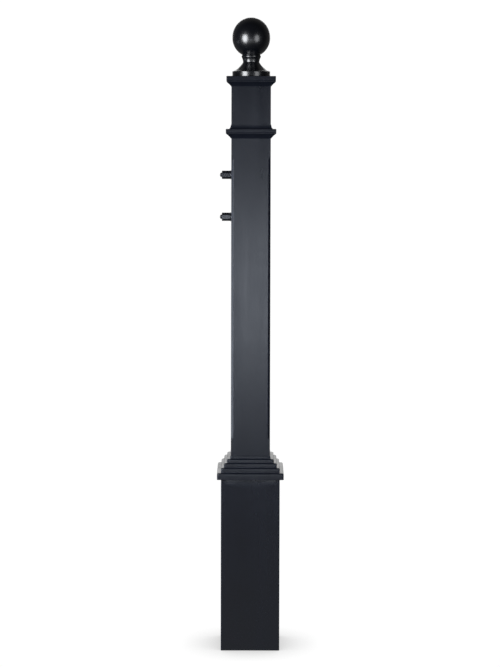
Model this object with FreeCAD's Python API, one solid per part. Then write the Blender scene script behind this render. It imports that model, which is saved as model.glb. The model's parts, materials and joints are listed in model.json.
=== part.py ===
"""Ornamental square post with a stepped base cover, a trim collar, a cap and a ball finial.

Units are millimetres. The origin is on the ground under the middle of the shaft, +Z is up,
-Y is the front, and the two mounting studs stand out of the -X face.
"""

import FreeCAD, Part
import math
import os

V = FreeCAD.Vector

# ---- shaft ---------------------------------------------------------------------------------------
SHAFT_WIDTH = 101.6
SHAFT_WALL = 6.35
POST_TOP = 1491.4
CHAMFER_LEG = 6.0
CHAMFER_LOW = 554.5
CHAMFER_HIGH = 1277.5
CHAMFER_RAMP = 9.0

# ---- anchor plate and its weld -------------------------------------------------------------------
PLATE_THICKNESS = 12.7
PLATE_CLEARANCE = 2.0
PLATE_CORNER_CUT = 3.0
ANCHOR_HOLE_RADIUS = 5.5
ANCHOR_EDGE_DISTANCE = 9.8
WELD_LEG = 5.0

# ---- base cover: box and stepped crown -----------------------------------------------------------
BOX_MARGIN = 25.4
BOX_WALL = 3.2
BOX_HEIGHT = 450.3
SLIDING_CLEARANCE = 0.4
CASTING_FIT = 0.25
CROWN_OVERHANG = 10.2
CROWN_TREADS = (10.2, 7.5, 7.7, 8.6)
CROWN_RISERS = (17.2, 12.0, 11.3, 9.6, 7.1)
CROWN_NOSING = 4.2
CROWN_LIP_NOSING = 1.8
CROWN_WEB = 7.0
CROWN_SKIRT_DEPTH = 22.0
CROWN_SKIRT_WALL = 6.0
CROWN_BOSS_WALL = 4.2

# ---- trim collar ---------------------------------------------------------------------------------
COLLAR_BOTTOM = 1331.2
COLLAR_PROJECTION = 14.1
COLLAR_SPLAY_HEIGHT = 12.0
COLLAR_BEAD_HEIGHT = 5.1
COLLAR_FASCIA_HEIGHT = 7.4
COLLAR_COVE_HEIGHT = 10.9
COLLAR_COVE_WIDTH = 5.6
COLLAR_COVE_LIP = 0.9

# ---- cap -----------------------------------------------------------------------------------------
CAP_PROJECTION = 12.7
CAP_SPLAY_HEIGHT = 11.0
CAP_BEAD_HEIGHT = 5.1
CAP_FASCIA_HEIGHT = 10.3
CAP_PLATE = 9.5
CAP_SKIRT_DEPTH = 52.0
CAP_SKIRT_WALL = 5.0

# ---- mouldings shared by the collar and the cap --------------------------------------------------
SPLAY_FOOT = 0.6
SPLAY_HOLLOW = 0.5
BEAD_QUIRK = 1.0
EDGE_ROUND = 1.0

# ---- finial --------------------------------------------------------------------------------------
BALL_RADIUS = 49.4
BALL_HALF_HEIGHT = 51.4
DISC_RADIUS = 49.4
DISC_HEIGHT = 13.4
DISC_ROUND = 1.6
WAIST_RADIUS = 21.3
WAIST_RISE = 36.6
FLARE_MIDDLE_RADIUS = 30.4
FLARE_MIDDLE_RISE = 25.0
NECK_RING_RADIUS = 25.2
NECK_RING_RISE = 48.6
NECK_RING_HEIGHT = 6.7
NECK_TOP_RADIUS = 24.2
NECK_HOLLOW = 0.6
BALL_SEAT_RADIUS = 23.0
FINIAL_HOLE_DEPTH = 30.0

# ---- finial's fasteners --------------------------------------------------------------------------
STUD_RADIUS = 6.35
THREAD_CLEARANCE = 0.05
WASHER_CLEARANCE = 0.3
NUT_ACROSS_FLATS = 19.05
NUT_HEIGHT = 11.1
NUT_BEVEL = 1.2
FINIAL_STUD_LENGTH = 54.0
FINIAL_STUD_GAP = 2.0
STUD_END_BEVEL = 1.0
LOCK_WASHER_RADIUS = 11.0
LOCK_WASHER_THICKNESS = 3.0
LOCK_WASHER_SLOT = 2.5

# ---- mounting studs on the -X face ---------------------------------------------------------------
UPPER_STUD_HEIGHT = 1236.4
LOWER_STUD_HEIGHT = 1127.2
STUD_THREAD_SHOWING = 0.6
STUD_INNER_SHOWING = 0.65
STUD_TIP_RADIUS = 5.4
STUD_TIP_LENGTH = 4.6
STUD_TIP_BEVEL = 0.8
STUD_DOME = 1.9
COUPLING_NUT_LENGTH = 22.0
WASHER_RADIUS = 11.9
WASHER_THICKNESS = 1.6
INSERT_FLANGE_RADIUS = 10.6
INSERT_FLANGE_THICKNESS = 1.0
INSERT_BARREL_RADIUS = 8.7
INSERT_BULGE_RADIUS = 11.4
INSERT_BULGE_LENGTH = 7.0
INSERT_BULGE_ROUND = 2.4
INSERT_TAIL_LENGTH = 10.0

# ---- small screws, in pairs on the back ----------------------------------------------------------
SCREW_SPACING = 50.8
SET_SCREW_RADIUS = 3.0
SET_SCREW_SOCKET = 3.0
SET_SCREW_INSET = 0.5
SET_SCREW_GAP = 0.1
PAN_SHANK_RADIUS = 2.1
PAN_SHANK_LENGTH = 11.0
PAN_HEAD_RADIUS = 4.2
PAN_HEAD_HEIGHT = 2.2
PAN_HEAD_ROUND = 1.3
PAN_RECESS_REACH = 1.9
PAN_RECESS_WIDTH = 0.85
PAN_RECESS_DEPTH = 1.3

# ---- worked out from the values above ------------------------------------------------------------
SHAFT_HALF = SHAFT_WIDTH / 2
SHAFT_BORE_HALF = SHAFT_HALF - SHAFT_WALL
SHAFT_TOP = POST_TOP - CAP_PLATE
BOX_HALF = SHAFT_HALF + BOX_MARGIN
BOX_BORE_HALF = BOX_HALF - BOX_WALL
PLATE_HALF = BOX_BORE_HALF - PLATE_CLEARANCE
CASTING_BORE_HALF = SHAFT_HALF + CASTING_FIT
CROWN_HALF = BOX_HALF + CROWN_OVERHANG
CROWN_BORE_HALF = SHAFT_HALF + SLIDING_CLEARANCE
CROWN_TOP = BOX_HEIGHT + sum(CROWN_RISERS)
COLLAR_HALF = SHAFT_HALF + COLLAR_PROJECTION
CAP_HALF = SHAFT_HALF + CAP_PROJECTION
CAP_BOTTOM = POST_TOP - CAP_FASCIA_HEIGHT - CAP_BEAD_HEIGHT - CAP_SPLAY_HEIGHT
NUT_SEAT = INSERT_FLANGE_THICKNESS + WASHER_THICKNESS
STUD_PROJECTION = NUT_SEAT + COUPLING_NUT_LENGTH + STUD_THREAD_SHOWING + STUD_TIP_LENGTH
INSERT_DEPTH = SHAFT_WALL + INSERT_BULGE_LENGTH + INSERT_TAIL_LENGTH
STUD_INNER_LENGTH = INSERT_DEPTH + STUD_INNER_SHOWING

# Heights of the screws: in the crown's fourth riser and its skirt, the collar's fascia and the cap's skirt.
CROWN_SCREW_HEIGHT = BOX_HEIGHT + sum(CROWN_RISERS[:3]) + (CROWN_RISERS[3] - CROWN_NOSING) / 2
BOX_SCREW_HEIGHT = BOX_HEIGHT - CROWN_SKIRT_DEPTH / 2
COLLAR_SCREW_HEIGHT = COLLAR_BOTTOM + COLLAR_SPLAY_HEIGHT + COLLAR_BEAD_HEIGHT + COLLAR_FASCIA_HEIGHT / 2
CAP_SCREW_HEIGHT = (CAP_BOTTOM + SHAFT_TOP - CAP_SKIRT_DEPTH) / 2

UP = V(0, 0, 1)
FRONTWARD = V(0, -1, 0)
OUTWARD = V(-1, 0, 0)
TINY = 0.01
OVERCUT = 1.0


# ---- shared shapes -------------------------------------------------------------------------------
def save(node, shape):
    """Write one node, after checking that every solid in it is sound."""
    solids = shape.Solids
    sound = bool(solids) and all(s.isValid() and s.Volume > 0 for s in solids)
    if not sound:
        raise ValueError(node + " is not a sound solid")
    if len(solids) == 1:
        shape = solids[0]
    shape.exportStep("parts/" + node + ".step")
    print(f"{node:24s} {len(solids)} solid(s) {shape.Volume / 1000:10.2f} cm3")


def square_prism(half, low, high):
    """A square prism about the Z axis."""
    return Part.makeBox(2 * half, 2 * half, high - low, V(-half, -half, low))


def square_tube(half, bore_half, low, high):
    """A square tube about the Z axis, open at both ends."""
    return square_prism(half, low, high).cut(square_prism(bore_half, low - OVERCUT, high + OVERCUT))


def bar_along(axis, radius, base, length):
    """A round bar from a base point along an axis."""
    return Part.makeCylinder(radius, length, base, axis)


def drill(shape, axis, radius, base, length):
    """Cut a round hole that starts just before a base point and runs just past its length."""
    start = base - axis * OVERCUT
    return shape.cut(bar_along(axis, radius, start, length + 2 * OVERCUT))


def half_section(start, steps):
    """A face in the XZ plane between an outline and the Z axis.

    Points are (half width or radius, height). A step of one point is a straight line to it, and a
    step of two is an arc to the second through the first.
    """
    edges = []
    foot = V(0, 0, start[1])
    first = V(start[0], 0, start[1])
    here = first
    for step in steps:
        points = [V(r, 0, z) for r, z in step]
        if len(points) == 1:
            edges.append(Part.LineSegment(here, points[0]).toShape())
        else:
            edges.append(Part.Arc(here, points[0], points[1]).toShape())
        here = points[-1]
    head = V(0, 0, here.z)
    for a, b in ((here, head), (head, foot), (foot, first)):
        edges.append(Part.LineSegment(a, b).toShape())
    return Part.Face(Part.Wire(edges))


def square_moulding(start, steps):
    """A solid whose level sections are squares, and whose half width follows an outline.

    The outline's section runs along Y, a quarter turn of it runs along X, and the two meet in
    true mitres at the corners.
    """
    reach = 2 * max(start[0], max(point[0] for step in steps for point in step))
    right = half_section(start, steps)
    left = right.mirror(V(0, 0, 0), V(1, 0, 0))
    bars = []
    for face in (right, left):
        bar = face.extrude(V(0, 2 * reach, 0))
        bar.translate(V(0, -reach, 0))
        bars.append(bar)
    along_y = bars[0].fuse(bars[1]).removeSplitter()
    along_x = along_y.copy()
    along_x.rotate(V(0, 0, 0), UP, 90)
    return along_y.common(along_x).removeSplitter()


def turned(start, steps):
    """A solid of revolution about the Z axis under an outline."""
    return half_section(start, steps).revolve(V(0, 0, 0), UP, 360)


def rounded_corner(half, height, radius):
    """A convex quarter arc that turns a rising face into a level top, as one outline step."""
    lean = radius * (1 - math.sqrt(0.5))
    return [(half - lean, height - lean), (half - radius, height)]


def hexagon_bar(across_flats, base, axis, flat_towards, length):
    """A hexagonal bar from a base point along an axis, with one flat facing a given way."""
    corner_radius = across_flats / math.sqrt(3)
    side = axis.cross(flat_towards)
    points = []
    for i in range(6):
        angle = math.radians(30 + 60 * i)
        offset = flat_towards * math.cos(angle) + side * math.sin(angle)
        points.append(base + offset * corner_radius)
    points.append(points[0])
    return Part.Face(Part.makePolygon(points)).extrude(axis * length)


def circular_rims(shape):
    """The circular edges of a bar."""
    return [edge for edge in shape.Edges if edge.Curve.TypeId == "Part::GeomCircle"]


def is_upright(edge):
    """True for a straight edge along Z."""
    low, high = edge.Vertexes[0].Point, edge.Vertexes[-1].Point
    return math.hypot(high.x - low.x, high.y - low.y) < TINY


# ---- anchor plate, weld and shaft ----------------------------------------------------------------
def anchor_plate():
    """A square plate inside the base box, with an anchor hole at each corner."""
    plate = square_prism(PLATE_HALF, 0, PLATE_THICKNESS)
    plate = plate.makeChamfer(PLATE_CORNER_CUT, [edge for edge in plate.Edges if is_upright(edge)])
    offset = PLATE_HALF - ANCHOR_EDGE_DISTANCE
    for x in (-offset, offset):
        for y in (-offset, offset):
            plate = drill(plate, UP, ANCHOR_HOLE_RADIUS, V(x, y, 0), PLATE_THICKNESS)
    return plate


def base_weld():
    """A fillet weld all round the shaft's foot, with round corners."""
    low = PLATE_THICKNESS
    toe = V(SHAFT_HALF + WELD_LEG, -SHAFT_HALF, low)
    root = V(SHAFT_HALF, -SHAFT_HALF, low)
    top = V(SHAFT_HALF, -SHAFT_HALF, low + WELD_LEG)
    bead = square_prism(SHAFT_HALF, low, low + WELD_LEG)
    pieces = []
    for turn in range(4):
        side = Part.Face(Part.makePolygon([root, toe, top, root])).extrude(V(0, SHAFT_WIDTH, 0))
        corner = Part.makeCone(WELD_LEG, 0, WELD_LEG, V(SHAFT_HALF, SHAFT_HALF, low))
        for piece in (side, corner):
            piece.rotate(V(0, 0, 0), UP, 90 * turn)
            pieces.append(piece)
    bead = bead.multiFuse(pieces).removeSplitter()
    return bead.cut(square_prism(SHAFT_HALF, low - OVERCUT, low + WELD_LEG + OVERCUT))


def corner_chamfer_cutter():
    """The wedge that takes off one arris of the shaft, running out on a ramp at each end."""

    def section(leg, z):
        edge = SHAFT_HALF + TINY
        points = [V(edge, edge, z), V(edge - leg, edge, z), V(edge, edge - leg, z)]
        return Part.makePolygon(points + points[:1])

    sections = [
        section(TINY, CHAMFER_LOW - CHAMFER_RAMP),
        section(CHAMFER_LEG, CHAMFER_LOW),
        section(CHAMFER_LEG, CHAMFER_HIGH),
        section(TINY, CHAMFER_HIGH + CHAMFER_RAMP),
    ]
    return Part.makeLoft(sections, True, True)


def shaft_tube():
    """A square tube from the anchor plate to the cap, with stop chamfers and drilled for its fasteners."""
    tube = square_tube(SHAFT_HALF, SHAFT_BORE_HALF, PLATE_THICKNESS, SHAFT_TOP)
    for turn in range(4):
        cutter = corner_chamfer_cutter()
        cutter.rotate(V(0, 0, 0), UP, 90 * turn)
        tube = tube.cut(cutter)
    for height in (UPPER_STUD_HEIGHT, LOWER_STUD_HEIGHT):
        tube = drill(tube, OUTWARD * -1, INSERT_BARREL_RADIUS, face_point(height, 0), SHAFT_WALL)
    for x in screw_places():
        tube = drill(tube, FRONTWARD, PAN_SHANK_RADIUS, V(x, SHAFT_HALF, CAP_SCREW_HEIGHT), SHAFT_WALL)
    return tube


# ---- base cover ----------------------------------------------------------------------------------
def base_box():
    """A thin square sleeve that stands on the ground round the foot of the shaft."""
    box = square_tube(BOX_HALF, BOX_BORE_HALF, 0, BOX_HEIGHT)
    for x in screw_places():
        box = drill(box, FRONTWARD, PAN_SHANK_RADIUS, V(x, BOX_HALF, BOX_SCREW_HEIGHT), BOX_WALL)
    return box


def crown_outline():
    """The crown's stepped outside: each riser ends in a rounded nosing, and each tread runs inward."""
    half = CROWN_HALF
    height = BOX_HEIGHT
    steps = []
    for riser, tread in zip(CROWN_RISERS, CROWN_TREADS):
        height += riser
        steps.append([(half, height - CROWN_NOSING)])
        steps.append(rounded_corner(half, height, CROWN_NOSING))
        half -= tread
        steps.append([(half, height)])
    steps.append([(half, CROWN_TOP - CROWN_LIP_NOSING)])
    steps.append(rounded_corner(half, CROWN_TOP, CROWN_LIP_NOSING))
    return (CROWN_HALF, BOX_HEIGHT), steps


def base_crown():
    """A casting that stands on the box, with a plug skirt inside it and a boss round the shaft."""
    skirt_half = BOX_BORE_HALF - CASTING_FIT
    skirt_low = BOX_HEIGHT - CROWN_SKIRT_DEPTH
    crown = square_moulding(*crown_outline())
    crown = crown.fuse(square_prism(skirt_half, skirt_low, BOX_HEIGHT)).removeSplitter()
    hollow_top = BOX_HEIGHT + CROWN_RISERS[0] - CROWN_WEB
    boss_half = CROWN_BORE_HALF + CROWN_BOSS_WALL
    hollow = square_prism(skirt_half - CROWN_SKIRT_WALL, skirt_low - OVERCUT, hollow_top)
    boss = square_prism(boss_half, skirt_low - OVERCUT, hollow_top)
    crown = crown.cut(hollow.cut(boss))
    crown = crown.cut(square_prism(CROWN_BORE_HALF, skirt_low - OVERCUT, CROWN_TOP + OVERCUT))
    for x in screw_places():
        set_start = V(x, CROWN_HALF, CROWN_SCREW_HEIGHT)
        crown = drill(crown, FRONTWARD, SET_SCREW_RADIUS, set_start, CROWN_HALF - SHAFT_HALF)
        pan_start = V(x, skirt_half, BOX_SCREW_HEIGHT)
        crown = drill(crown, FRONTWARD, PAN_SHANK_RADIUS, pan_start, CROWN_SKIRT_WALL)
    return crown


# ---- small screws --------------------------------------------------------------------------------
def screw_places():
    """Where the two screws of a pair stand along X."""
    return (-SCREW_SPACING / 2, SCREW_SPACING / 2)


def set_screw(face_y, x, height):
    """A headless screw from just inside a face to the shaft, with a hexagonal socket."""
    outer = face_y - SET_SCREW_INSET
    length = outer - SHAFT_HALF - SET_SCREW_GAP
    screw = bar_along(FRONTWARD, SET_SCREW_RADIUS, V(x, outer, height), length)
    mouth = V(x, outer + OVERCUT, height)
    socket = hexagon_bar(SET_SCREW_SOCKET, mouth, FRONTWARD, UP, SET_SCREW_SOCKET + OVERCUT)
    return screw.cut(socket)


def pan_screw(face_y, x, height):
    """A small cross-head screw with its head against a face."""
    shank = bar_along(FRONTWARD, PAN_SHANK_RADIUS, V(x, face_y, height), PAN_SHANK_LENGTH)
    top = face_y + PAN_HEAD_HEIGHT
    head = bar_along(FRONTWARD, PAN_HEAD_RADIUS, V(x, top, height), PAN_HEAD_HEIGHT)
    outer_rim = [edge for edge in circular_rims(head) if edge.Vertexes[0].Y > face_y + TINY]
    screw = head.makeFillet(PAN_HEAD_ROUND, outer_rim).fuse(shank).removeSplitter()
    half_slot = PAN_RECESS_WIDTH / 2
    for half_x, half_z in ((PAN_RECESS_REACH, half_slot), (half_slot, PAN_RECESS_REACH)):
        corner = V(x - half_x, top - PAN_RECESS_DEPTH, height - half_z)
        screw = screw.cut(Part.makeBox(2 * half_x, PAN_RECESS_DEPTH + OVERCUT, 2 * half_z, corner))
    return screw


def screw_pair(make, face_y, height):
    """Two alike screws either side of the middle."""
    return Part.makeCompound([make(face_y, x, height) for x in screw_places()])


# ---- trim collar and cap -------------------------------------------------------------------------
def lower_mouldings(edge, bottom, splay_height, bead_height):
    """The outline that the collar and the cap share: a splayed underside, then a bead under a quirk."""
    foot = CASTING_BORE_HALF + SPLAY_FOOT
    splay_top = bottom + splay_height
    bead_top = splay_top + bead_height
    middle = (foot + edge - BEAD_QUIRK) / 2 - SPLAY_HOLLOW
    steps = [
        [(middle, bottom + splay_height / 2 + SPLAY_HOLLOW), (edge - BEAD_QUIRK, splay_top)],
        [(edge, splay_top + bead_height / 2), (edge - BEAD_QUIRK, bead_top)],
        [(edge, bead_top)],
    ]
    return (foot, bottom), steps


def trim_collar():
    """A square moulding round the shaft: splay, bead, fascia, shelf and an upper cove."""
    start, steps = lower_mouldings(COLLAR_HALF, COLLAR_BOTTOM, COLLAR_SPLAY_HEIGHT, COLLAR_BEAD_HEIGHT)
    shelf = COLLAR_BOTTOM + COLLAR_SPLAY_HEIGHT + COLLAR_BEAD_HEIGHT + COLLAR_FASCIA_HEIGHT
    top = shelf + COLLAR_COVE_HEIGHT
    lip = CASTING_BORE_HALF + COLLAR_COVE_LIP
    cove_foot = CASTING_BORE_HALF + COLLAR_COVE_WIDTH
    hollow = (lip + (cove_foot - lip) * 0.3, shelf + COLLAR_COVE_HEIGHT * 0.4)
    steps += [
        [(COLLAR_HALF, shelf - EDGE_ROUND)],
        rounded_corner(COLLAR_HALF, shelf, EDGE_ROUND),
        [(cove_foot, shelf)],
        [hollow, (lip, top)],
    ]
    collar = square_moulding(start, steps)
    collar = collar.cut(square_prism(CASTING_BORE_HALF, COLLAR_BOTTOM - OVERCUT, top + OVERCUT))
    for x in screw_places():
        screw_start = V(x, COLLAR_HALF, COLLAR_SCREW_HEIGHT)
        collar = drill(collar, FRONTWARD, SET_SCREW_RADIUS, screw_start, COLLAR_PROJECTION)
    return collar


def cap():
    """A square moulding that closes the shaft, with a plug skirt down inside it."""
    start, steps = lower_mouldings(CAP_HALF, CAP_BOTTOM, CAP_SPLAY_HEIGHT, CAP_BEAD_HEIGHT)
    steps += [[(CAP_HALF, POST_TOP - EDGE_ROUND)], rounded_corner(CAP_HALF, POST_TOP, EDGE_ROUND)]
    body = square_moulding(start, steps)
    body = body.cut(square_prism(CASTING_BORE_HALF, CAP_BOTTOM - OVERCUT, SHAFT_TOP))
    skirt_half = SHAFT_BORE_HALF - CASTING_FIT
    skirt = square_tube(skirt_half, skirt_half - CAP_SKIRT_WALL, SHAFT_TOP - CAP_SKIRT_DEPTH, SHAFT_TOP)
    body = body.fuse(skirt).removeSplitter()
    body = drill(body, UP, STUD_RADIUS + THREAD_CLEARANCE, V(0, 0, SHAFT_TOP), CAP_PLATE)
    for x in screw_places():
        screw_start = V(x, skirt_half, CAP_SCREW_HEIGHT)
        body = drill(body, FRONTWARD, PAN_SHANK_RADIUS, screw_start, CAP_SKIRT_WALL)
    return body


# ---- finial --------------------------------------------------------------------------------------
def finial():
    """A turned ball on a waisted neck, over a round disc, with a tapped hole underneath."""
    disc_top = POST_TOP + DISC_HEIGHT
    waist = POST_TOP + WAIST_RISE
    ring_low = POST_TOP + NECK_RING_RISE
    ring_high = ring_low + NECK_RING_HEIGHT
    neck_middle = (WAIST_RADIUS + NECK_TOP_RADIUS) / 2 - NECK_HOLLOW
    steps = [
        [(DISC_RADIUS, disc_top - DISC_ROUND)],
        rounded_corner(DISC_RADIUS, disc_top, DISC_ROUND),
        [(FLARE_MIDDLE_RADIUS, POST_TOP + FLARE_MIDDLE_RISE), (WAIST_RADIUS, waist)],
        [(neck_middle, (waist + ring_low) / 2), (NECK_TOP_RADIUS, ring_low)],
        [(NECK_RING_RADIUS, ring_low + NECK_RING_HEIGHT / 2), (BALL_SEAT_RADIUS, ring_high)],
    ]
    ball = Part.makeSphere(BALL_RADIUS)
    stretch = FreeCAD.Matrix()
    stretch.scale(1, 1, BALL_HALF_HEIGHT / BALL_RADIUS)
    ball = ball.transformGeometry(stretch)
    ball.translate(V(0, 0, ring_high + ball_rise()))
    body = turned((DISC_RADIUS, POST_TOP), steps).fuse(ball).removeSplitter()
    return drill(body, UP, STUD_RADIUS + THREAD_CLEARANCE, V(0, 0, POST_TOP), FINIAL_HOLE_DEPTH - OVERCUT)


def ball_rise():
    """How far the ball's centre stands above the neck ring that it sits in."""
    return BALL_HALF_HEIGHT * math.sqrt(1 - (BALL_SEAT_RADIUS / BALL_RADIUS) ** 2)


def finial_stud():
    """A threaded bar from the finial's tapped hole down through the cap."""
    high = POST_TOP + FINIAL_HOLE_DEPTH - FINIAL_STUD_GAP
    stud = bar_along(UP * -1, STUD_RADIUS, V(0, 0, high), FINIAL_STUD_LENGTH)
    return stud.makeChamfer(STUD_END_BEVEL, circular_rims(stud))


def finial_lock_washer():
    """A split ring between the cap's plate and the nut."""
    top = V(0, 0, SHAFT_TOP)
    ring = bar_along(UP * -1, LOCK_WASHER_RADIUS, top, LOCK_WASHER_THICKNESS)
    ring = drill(ring, UP * -1, STUD_RADIUS + WASHER_CLEARANCE, top, LOCK_WASHER_THICKNESS)
    corner = V(0, -LOCK_WASHER_SLOT / 2, SHAFT_TOP - LOCK_WASHER_THICKNESS - OVERCUT)
    height = LOCK_WASHER_THICKNESS + 2 * OVERCUT
    return ring.cut(Part.makeBox(LOCK_WASHER_RADIUS + OVERCUT, LOCK_WASHER_SLOT, height, corner))


def tapped_nut(base, axis, flat_towards, length):
    """A hexagon nut bored for the stud, with its corners turned off to a 30 degree bevel at both ends."""
    bar = hexagon_bar(NUT_ACROSS_FLATS, base, axis, flat_towards, length)
    spread = 1 / math.tan(math.radians(30))
    face_radius = NUT_ACROSS_FLATS / math.sqrt(3) - NUT_BEVEL
    for end, inward in ((base, axis), (base + axis * length, axis * -1)):
        bar = bar.common(Part.makeCone(face_radius, face_radius + length * spread, length, end, inward))
    return drill(bar, axis, STUD_RADIUS + THREAD_CLEARANCE, base, length)


def finial_nut():
    """The nut that pulls the finial down on the cap."""
    top = V(0, 0, SHAFT_TOP - LOCK_WASHER_THICKNESS)
    return tapped_nut(top, UP * -1, FRONTWARD, NUT_HEIGHT)


# ---- mounting studs ------------------------------------------------------------------------------
def face_point(height, distance):
    """A point on a mounting stud's axis, at a distance out from the shaft's -X face."""
    return V(-SHAFT_HALF - distance, 0, height)


def threaded_insert(height):
    """A flanged insert clamped in the shaft wall, with its bulge against the inner face."""
    inward = OUTWARD * -1
    flange = bar_along(OUTWARD, INSERT_FLANGE_RADIUS, face_point(height, 0), INSERT_FLANGE_THICKNESS)
    barrel = bar_along(inward, INSERT_BARREL_RADIUS, face_point(height, 0), INSERT_DEPTH)
    bulge_start = face_point(height, -SHAFT_WALL)
    bulge = bar_along(inward, INSERT_BULGE_RADIUS, bulge_start, INSERT_BULGE_LENGTH)
    inner_rim = [edge for edge in circular_rims(bulge) if edge.Vertexes[0].X > bulge_start.x + TINY]
    bulge = bulge.makeFillet(INSERT_BULGE_ROUND, inner_rim)
    insert = flange.multiFuse([barrel, bulge]).removeSplitter()
    mouth = face_point(height, INSERT_FLANGE_THICKNESS)
    return drill(insert, inward, STUD_RADIUS, mouth, INSERT_FLANGE_THICKNESS + INSERT_DEPTH)


def mounting_stud(height):
    """A threaded bar from inside the insert, with a slimmer, domed pilot at its outer end."""
    shoulder = face_point(height, STUD_PROJECTION - STUD_TIP_LENGTH)
    threaded_length = STUD_INNER_LENGTH + STUD_PROJECTION - STUD_TIP_LENGTH
    bar = bar_along(OUTWARD, STUD_RADIUS, face_point(height, -STUD_INNER_LENGTH), threaded_length)
    bevel = Part.makeCone(STUD_RADIUS, STUD_TIP_RADIUS, STUD_TIP_BEVEL, shoulder, OUTWARD)
    pilot = bar_along(OUTWARD, STUD_TIP_RADIUS, shoulder, STUD_TIP_LENGTH - STUD_DOME)
    dome_radius = (STUD_TIP_RADIUS**2 + STUD_DOME**2) / (2 * STUD_DOME)
    dome = Part.makeSphere(dome_radius, face_point(height, STUD_PROJECTION - dome_radius))
    dome_base = face_point(height, STUD_PROJECTION - STUD_DOME)
    dome = dome.common(bar_along(OUTWARD, STUD_TIP_RADIUS, dome_base, STUD_DOME + OVERCUT))
    return bar.multiFuse([bevel, pilot, dome]).removeSplitter()


def flat_washer(height):
    """A narrow flat washer between the insert's flange and the coupling nut."""
    base = face_point(height, INSERT_FLANGE_THICKNESS)
    disc = bar_along(OUTWARD, WASHER_RADIUS, base, WASHER_THICKNESS)
    return drill(disc, OUTWARD, STUD_RADIUS + WASHER_CLEARANCE, base, WASHER_THICKNESS)


def coupling_nut(height):
    """The long nut that clamps a bracket to the shaft's face."""
    base = face_point(height, NUT_SEAT)
    return tapped_nut(base, OUTWARD, FRONTWARD, COUPLING_NUT_LENGTH)


# ---- all nodes -----------------------------------------------------------------------------------
def main():
    os.makedirs("parts", exist_ok=True)
    riser_face = CROWN_HALF - sum(CROWN_TREADS[:3])
    save("anchor_plate", anchor_plate())
    save("base_weld", base_weld())
    save("shaft_tube", shaft_tube())
    save("base_box", base_box())
    save("base_crown", base_crown())
    save("crown_set_screws", screw_pair(set_screw, riser_face, CROWN_SCREW_HEIGHT))
    save("box_screws", screw_pair(pan_screw, BOX_HALF, BOX_SCREW_HEIGHT))
    save("trim_collar", trim_collar())
    save("collar_set_screws", screw_pair(set_screw, COLLAR_HALF, COLLAR_SCREW_HEIGHT))
    save("cap", cap())
    save("cap_screws", screw_pair(pan_screw, SHAFT_HALF, CAP_SCREW_HEIGHT))
    save("finial", finial())
    save("finial_stud", finial_stud())
    save("finial_lock_washer", finial_lock_washer())
    save("finial_nut", finial_nut())
    for name, height in (("upper", UPPER_STUD_HEIGHT), ("lower", LOWER_STUD_HEIGHT)):
        save(name + "_threaded_insert", threaded_insert(height))
        save(name + "_mounting_stud", mounting_stud(height))
        save(name + "_washer", flat_washer(height))
        save(name + "_coupling_nut", coupling_nut(height))


main()
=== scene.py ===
"""A square ornamental post: a shaft with stop chamfers in a stepped base cover, a trim collar, a cap
and a ball finial, with two bracket studs on one face.

Every new piece is a numpy surface that stands for one solid of the frame.
"""

import cmath
import json
import math

import bpy
import numpy as np
from mathutils import Matrix, Vector


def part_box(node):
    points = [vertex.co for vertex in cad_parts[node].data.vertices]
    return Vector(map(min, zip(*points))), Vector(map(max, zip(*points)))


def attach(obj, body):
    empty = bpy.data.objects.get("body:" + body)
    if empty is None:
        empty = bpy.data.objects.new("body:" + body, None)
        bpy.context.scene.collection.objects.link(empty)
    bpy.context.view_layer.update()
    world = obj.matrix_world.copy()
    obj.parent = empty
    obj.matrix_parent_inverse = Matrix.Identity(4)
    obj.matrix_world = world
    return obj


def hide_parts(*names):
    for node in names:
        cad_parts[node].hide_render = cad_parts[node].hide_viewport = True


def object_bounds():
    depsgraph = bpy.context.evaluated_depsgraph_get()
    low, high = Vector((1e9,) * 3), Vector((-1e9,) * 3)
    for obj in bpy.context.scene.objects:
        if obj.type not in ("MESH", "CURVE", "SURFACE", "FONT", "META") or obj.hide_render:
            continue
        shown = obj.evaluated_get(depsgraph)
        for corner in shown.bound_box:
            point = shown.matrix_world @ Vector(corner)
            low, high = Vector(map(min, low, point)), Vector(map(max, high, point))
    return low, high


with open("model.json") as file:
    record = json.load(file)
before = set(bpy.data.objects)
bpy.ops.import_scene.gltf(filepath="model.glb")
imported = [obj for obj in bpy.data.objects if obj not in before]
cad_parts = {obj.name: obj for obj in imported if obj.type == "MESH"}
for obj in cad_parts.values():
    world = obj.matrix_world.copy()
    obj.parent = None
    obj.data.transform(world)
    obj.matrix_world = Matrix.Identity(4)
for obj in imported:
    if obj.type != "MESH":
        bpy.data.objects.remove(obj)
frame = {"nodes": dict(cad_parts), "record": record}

bl_info = {
    "name": "Square Post with Ball Finial",
    "version": (1, 0, 0),
    "blender": (4, 5, 0),
    "location": "View3D > Sidebar > Post",
    "description": "Makes the post's painted castings, its bracket studs and a plain studio",
    "category": "Add Mesh",
}

MM = 0.001
BREAK = 0.3 * MM  # how far a plain edge is broken
HOLD = 0.25 * MM  # how far a flat is held flat beyond an eased corner
OVERSHOOT = 1.2  # a drill's reach to each side of a face, in walls
FLAT_SHARE = 0.14  # a thread's flat crest or root, as a share of half a turn
CORNER_SHARE = 0.58  # the cut of the crown's outer upright corners, as a share of its nosing
CORNER_EASE = 0.4  # how far the ends of that cut are eased, as a share of its nosing
AROUND = 96  # columns round a nut or a washer
FRAME_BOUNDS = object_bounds()
SHAFT_LOW, SHAFT_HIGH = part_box("shaft_tube")
BOX_LOW, BOX_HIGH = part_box("base_box")
CROWN_LOW, CROWN_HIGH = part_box("base_crown")
COLLAR_LOW, COLLAR_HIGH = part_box("trim_collar")
CAP_LOW, CAP_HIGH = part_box("cap")
WELD_LOW, WELD_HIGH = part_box("base_weld")
STUD_SIDES = ("upper", "lower")
SLOT_OF = {part["node"]: part["material_slot"] for part in frame["record"]["subparts"]}
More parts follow.
